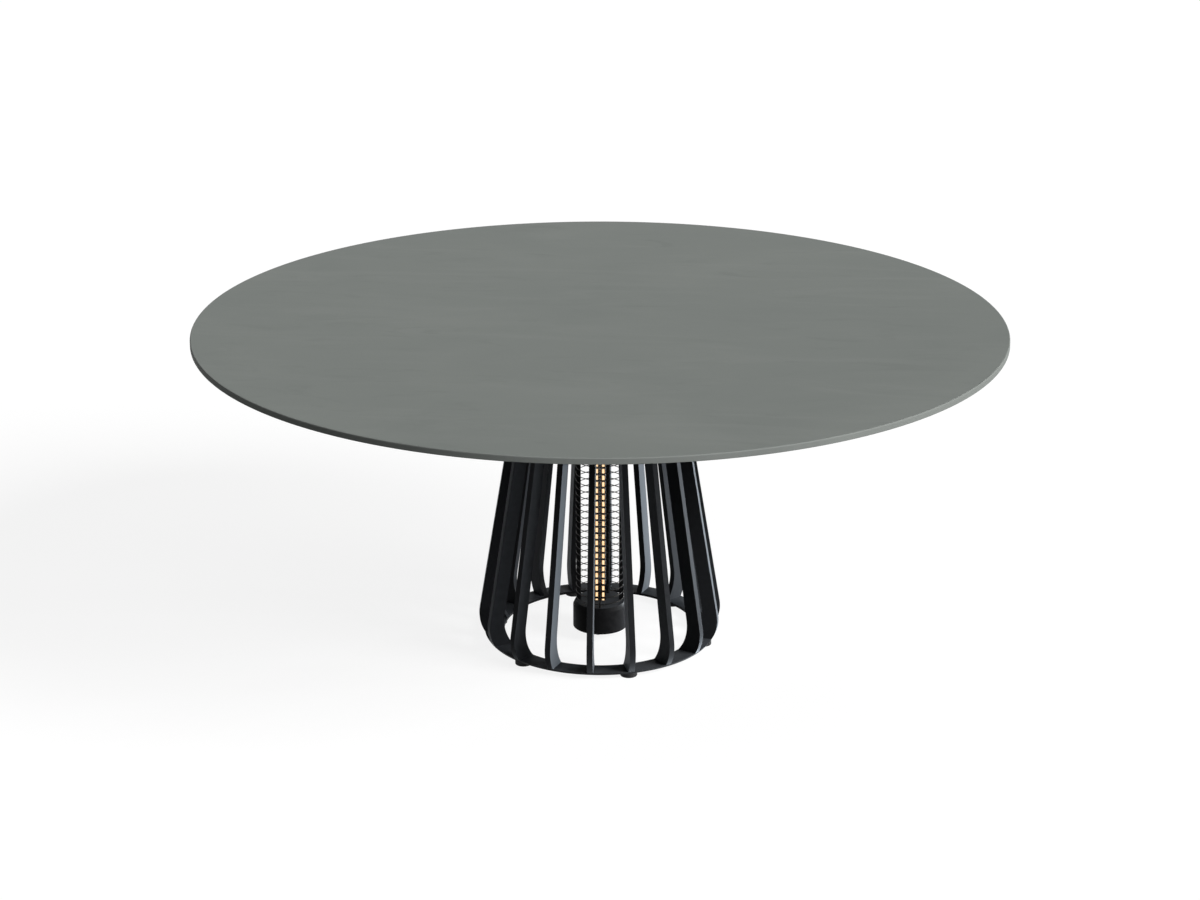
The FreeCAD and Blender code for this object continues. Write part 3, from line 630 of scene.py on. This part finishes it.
def dress_guard():
    """The wire guard: round rings welded to round uprights at the front and the back."""
    low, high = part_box("heater_guard")
    ring_radius, wire_radius = GUARD_DIAMETER / 2, GUARD_WIRE / 2
    bar_radius = ring_radius - wire_radius + GUARD_WELD - GUARD_BAR / 2
    shape = bmesh.new()
    count = int((high.z - low.z - 2 * GUARD_END_GAP) / GUARD_PITCH + COUNT_SLACK) + 1
    for k in range(count):
        z = low.z + GUARD_END_GAP + k * GUARD_PITCH
        section = [(wire_radius * math.cos(a), z + wire_radius * math.sin(a)) for a in turns(WIRE_SIDES)]
        loft(shape, [round_loop(ring_radius + r, level, RING_SIDES) for r, level in section], closed=True)
    for k in range(GUARD_BARS):
        angle = GUARD_TURN - math.pi / 2 + 2 * math.pi * k / GUARD_BARS
        place = Matrix.Translation((bar_radius * math.cos(angle), bar_radius * math.sin(angle), 0))
        bar = [round_loop(GUARD_BAR / 2, z, BAR_SIDES) for z in (low.z, high.z)]
        loft(shape, moved(bar, place))
    finish_mesh("heater_guard_dressed", shape, SLOT_OF["heater_guard"], ["heater_guard"])


def dress_straps():
    """The guard's uprights at its two sides: flat dark straps that stand edgewise to the axis."""
    low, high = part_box("heater_guard")
    shape = bmesh.new()
    for angle in (GUARD_TURN, GUARD_TURN + math.pi):
        strap = [strap_loop(z) for z in (low.z, high.z)]
        loft(shape, moved(strap, Matrix.Rotation(angle, 4, "Z")))
    finish_mesh("guard_straps", shape, SLOT_OF["heater_head"], [])


def strap_loop(z):
    """A strap's section: a rectangle with round corners, wide along X, that reaches out to the rings."""
    middle = GUARD_DIAMETER / 2 - STRAP_WIDTH / 2
    across, along = STRAP_WIDTH / 2 - STRAP_EASE, STRAP_THICKNESS / 2 - STRAP_EASE
    loop = []
    for corner, (side_x, side_y) in enumerate(((1, 1), (-1, 1), (-1, -1), (1, -1))):
        centre = Vector((middle + side_x * across, side_y * along, z))
        for angle in quarter(STRAP_EASE_STEPS, corner * math.pi / 2):
            loop.append(centre + STRAP_EASE * Vector((math.cos(angle), math.sin(angle), 0.0)))
    return loop


def dress_lamps():
    """Each lamp: a smooth quartz tube with a hot ribbon in it."""
    for number in range(1, HEATER_LAMPS + 1):
        dress_tube("quartz_tube_%d" % number)
        dress_ribbon("heating_strip_%d" % number)


def dress_tube(node):
    low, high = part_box(node)
    outer = (high.x - low.x) / 2
    inner = outer - QUARTZ_WALL
    wall = [(outer, low.z), (outer, high.z), (inner, high.z), (inner, low.z)]
    shape = bmesh.new()
    loft(shape, moved([round_loop(r, z) for r, z in wall], to_middle(low, high)), closed=True)
    finish_mesh(node + "_dressed", shape, SLOT_OF[node], [node])


def dress_ribbon(node):
    """A flat ribbon that ripples faintly to the front and the back along its length."""
    low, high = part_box(node)
    middle = (low + high) / 2
    half = (high - low) / 2
    thin = half.y - STRIP_RIPPLE
    corners = ((-half.x, -thin), (half.x, -thin), (half.x, thin), (-half.x, thin))
    steps = int((high.z - low.z) / STRIP_RIPPLE_PITCH * RIPPLE_STEPS)
    loops = []
    for k in range(steps + 1):
        z = low.z + (high.z - low.z) * k / steps
        y = middle.y + STRIP_RIPPLE * math.sin(2 * math.pi / RIPPLE_STEPS * k)
        loops.append([Vector((middle.x + dx, y + dy, z)) for dx, dy in corners])
    shape = bmesh.new()
    loft(shape, loops)
    finish_mesh(node + "_dressed", shape, SLOT_OF[node], [node])


def dress_supports():
    """Dark sleeves that hold each ribbon in the middle of its tube, as far apart as the guard's rings."""
    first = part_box("heater_guard")[0].z + GUARD_END_GAP - SUPPORT_DROP
    shape = bmesh.new()
    for number in range(1, HEATER_LAMPS + 1):
        low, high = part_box("heating_strip_%d" % number)
        middle = (low + high) / 2
        z = first
        while z < high.z - GUARD_PITCH:
            loft(shape, [sleeve_loop(middle, z + dz, inset) for dz, inset in SUPPORT_PROFILE])
            z += GUARD_PITCH
    finish_mesh("ribbon_supports", shape, SLOT_OF["heater_guard"], [])


def sleeve_loop(middle, z, inset):
    """A sleeve's section, drawn in by an inset."""
    x, y = SUPPORT_WIDTH / 2 - inset, SUPPORT_DEPTH / 2 - inset
    return [Vector((middle.x + dx, middle.y + dy, z)) for dx, dy in ((-x, -y), (x, -y), (x, y), (-x, y))]


def dress_gland():
    """The cable gland's clamping nut: grip ribs round a bored barrel with a rounded outer end."""
    low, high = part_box("gland_nut")
    middle = (low + high) / 2
    outward = Vector((middle.x, middle.y, 0.0)).normalized()
    reach = [vertex.co.dot(outward) for vertex in frame["nodes"]["gland_nut"].data.vertices]
    near, far = min(reach), max(reach)
    radius = (high.z - low.z) / 2
    root = radius - NUT_RIB_DEPTH
    sides = NUT_RIBS * SIDES_PER_RIB
    loops = [round_loop(root, near, sides)]
    for distance in (near + NUT_RIB_DEPTH, far - NUT_ROUND - NUT_RIB_DEPTH):
        loops.append(ribbed_loop(radius, distance, sides))
    rounded_end = upper_corner(root, far, NUT_ROUND, NUT_ROUND_STEPS)
    loops += [round_loop(r, distance, sides) for r, distance in rounded_end]
    loops += [round_loop(NUT_BORE / 2, distance, sides) for distance in (far - NUT_RIB_DEPTH, near)]
    place = Matrix.Translation((0.0, 0.0, middle.z)) @ outward.to_track_quat("Z", "Y").to_matrix().to_4x4()
    shape = bmesh.new()
    loft(shape, moved(loops, place), closed=True)
    finish_mesh("gland_nut_dressed", shape, SLOT_OF["gland_nut"], ["gland_nut"])


# The feet

def dress_feet():
    """The levelling feet: a grooved moulded disc on a threaded stud."""
    for number in range(1, FEET + 1):
        body = "foot_%d" % number
        dress_pad("foot_pad_%d" % number, body)
        dress_stud("foot_stud_%d" % number, body)


def dress_pad(node, body):
    low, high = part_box(node)
    radius = (high.x - low.x) / 2
    middle = (low.z + high.z) / 2
    profile = lower_corner(radius, low.z, PAD_EASE, PAD_EASE_STEPS)
    profile += [(radius, middle - PAD_GROOVE), (radius - PAD_GROOVE, middle), (radius, middle + PAD_GROOVE)]
    profile += upper_corner(radius, high.z, PAD_EASE, PAD_EASE_STEPS)
    shape = bmesh.new()
    loft(shape, moved([round_loop(r, z) for r, z in profile], to_middle(low, high)))
    finish_mesh(node + "_dressed", shape, SLOT_OF[node], [node], body)


def dress_stud(node, body):
    """A stud with a plain end sunk in its pad and a thread from the pads' top upwards."""
    low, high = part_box(node)
    pad_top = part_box("foot_pad_1")[1].z
    plain = (low.z + STUD_INSET, pad_top - STUD_NECK)
    loops = [round_loop(STUD_RADIUS - THREAD_DEPTH, z) for z in plain]
    for k in range(int((high.z - pad_top) / THREAD_PITCH)):
        loops += thread_turn(STUD_RADIUS, pad_top + k * THREAD_PITCH, 1)
    loops.append(round_loop(STUD_RADIUS - 2 * THREAD_DEPTH, high.z))
    shape = bmesh.new()
    loft(shape, moved(loops, to_middle(low, high)))
    finish_mesh(node + "_dressed", shape, SLOT_OF[node], [node], body)


# The studio and the camera

def seen_directly(nodes, links):
    """1 for rays from the camera, mirrors and glass, and 0 for the light that falls on the object."""
    path = nodes.new("ShaderNodeLightPath")
    total = path.outputs["Is Camera Ray"]
    for name in ("Is Glossy Ray", "Is Transmission Ray"):
        either = nodes.new("ShaderNodeMath")
        either.operation = "MAXIMUM"
        links.new(total, either.inputs[0])
        links.new(path.outputs[name], either.inputs[1])
        total = either.outputs["Value"]
    return total


def make_floor():
    """A plain pale floor that shows white and keeps a soft shadow."""
    bpy.ops.mesh.primitive_plane_add(size=FLOOR_SIZE)
    floor = bpy.context.object
    floor.name = "floor"
    material = bpy.data.materials.new("floor")
    material.use_nodes = True
    nodes = material.node_tree.nodes
    links = material.node_tree.links
    nodes.remove(nodes["Principled BSDF"])
    diffuse = nodes.new("ShaderNodeBsdfDiffuse")
    diffuse.inputs["Color"].default_value = (FLOOR_DIFFUSE, FLOOR_DIFFUSE, FLOOR_DIFFUSE, 1.0)
    glow = nodes.new("ShaderNodeEmission")
    scaled = nodes.new("ShaderNodeMath")
    scaled.operation = "MULTIPLY"
    scaled.inputs[1].default_value = FLOOR_GLOW
    links.new(seen_directly(nodes, links), scaled.inputs[0])
    links.new(scaled.outputs["Value"], glow.inputs["Strength"])
    both = nodes.new("ShaderNodeAddShader")
    links.new(diffuse.outputs["BSDF"], both.inputs[0])
    links.new(glow.outputs["Emission"], both.inputs[1])
    links.new(both.outputs["Shader"], nodes["Material Output"].inputs["Surface"])
    floor.data.materials.append(material)


def make_world():
    """A white surround that gives the object only a little fill light."""
    world = bpy.data.worlds.new("studio")
    world.use_nodes = True
    bpy.context.scene.world = world
    nodes = world.node_tree.nodes
    links = world.node_tree.links
    level = nodes.new("ShaderNodeMapRange")
    level.inputs["To Min"].default_value = WORLD_FILL
    level.inputs["To Max"].default_value = 1.0
    links.new(seen_directly(nodes, links), level.inputs["Value"])
    background = nodes["Background"]
    background.inputs["Color"].default_value = WHITE
    links.new(level.outputs["Result"], background.inputs["Strength"])


def place_lamp(lamp, place, aim):
    """Stands a lamp at a place and turns it towards a point."""
    holder = bpy.data.objects.new(lamp.name, lamp)
    bpy.context.scene.collection.objects.link(holder)
    holder.location = place
    holder.rotation_euler = (place - aim).to_track_quat("Z", "Y").to_euler()


def make_lamp(name, azimuth, elevation, spread, level):
    """A far softbox, at degrees from the front towards the right and above the floor. At level 1 a white
    face square to it renders white."""
    lamp = bpy.data.lights.new(name, "SUN")
    lamp.angle = math.radians(spread)
    lamp.energy = level * math.pi
    turn, rise = math.radians(azimuth), math.radians(elevation)
    towards = Vector((math.sin(turn) * math.cos(rise), -math.cos(turn) * math.cos(rise), math.sin(rise)))
    place_lamp(lamp, towards * LAMP_DISTANCE, Vector())


def make_side_lamp(name, azimuth, level, colour):
    """A round softbox that stands near the floor and lights the base alone, under the top's edge. Its level
    means the same as a far lamp's."""
    lamp = bpy.data.lights.new(name, "SPOT")
    lamp.shadow_soft_size = SIDE_LAMP_RADIUS
    lamp.spot_size = SIDE_LAMP_CONE
    lamp.spot_blend = SIDE_LAMP_BLEND
    lamp.energy = level * 4 * math.pi ** 2 * SIDE_LAMP_DISTANCE ** 2
    lamp.color = colour
    turn = math.radians(azimuth)
    aside, ahead = SIDE_LAMP_DISTANCE * math.sin(turn), -SIDE_LAMP_DISTANCE * math.cos(turn)
    place_lamp(lamp, Vector((aside, ahead, SIDE_LAMP_HEIGHT)), Vector((0.0, 0.0, SIDE_LAMP_AIM)))


def make_lamps():
    make_lamp("key", azimuth=70.0, elevation=30.0, spread=28.0, level=1.46)
    make_lamp("overhead", azimuth=20.0, elevation=80.0, spread=60.0, level=0.1)
    make_side_lamp("side_back", azimuth=136.0, level=1.45, colour=(0.88, 0.95, 1.0))
    make_side_lamp("side_front", azimuth=97.0, level=1.2, colour=(0.95, 0.98, 1.0))


def make_camera():
    camera = bpy.data.cameras.new("photo_view")
    camera.lens = CAMERA_LENS
    camera.sensor_width = SENSOR_WIDTH
    camera.clip_end = CAMERA_REACH
    holder = bpy.data.objects.new("photo_view", camera)
    bpy.context.scene.collection.objects.link(holder)
    holder.location = (
        CAMERA_DISTANCE * math.sin(CAMERA_TURN), -CAMERA_DISTANCE * math.cos(CAMERA_TURN), CAMERA_HEIGHT)
    holder.rotation_euler = (math.pi / 2 - CAMERA_PITCH, 0, CAMERA_TURN)
    bpy.context.scene.camera = holder


FINISHES = make_finishes()
bpy.context.scene.view_settings.view_transform = "Standard"
paint_frame()
make_camera()
dress_slab()
dress_frame()
dress_guard()
dress_straps()
dress_lamps()
dress_supports()
dress_feet()
dress_gland()
for node, sizes in SCREWS.items():
    dress_screws(node, **sizes)
make_floor()
make_world()
make_lamps()
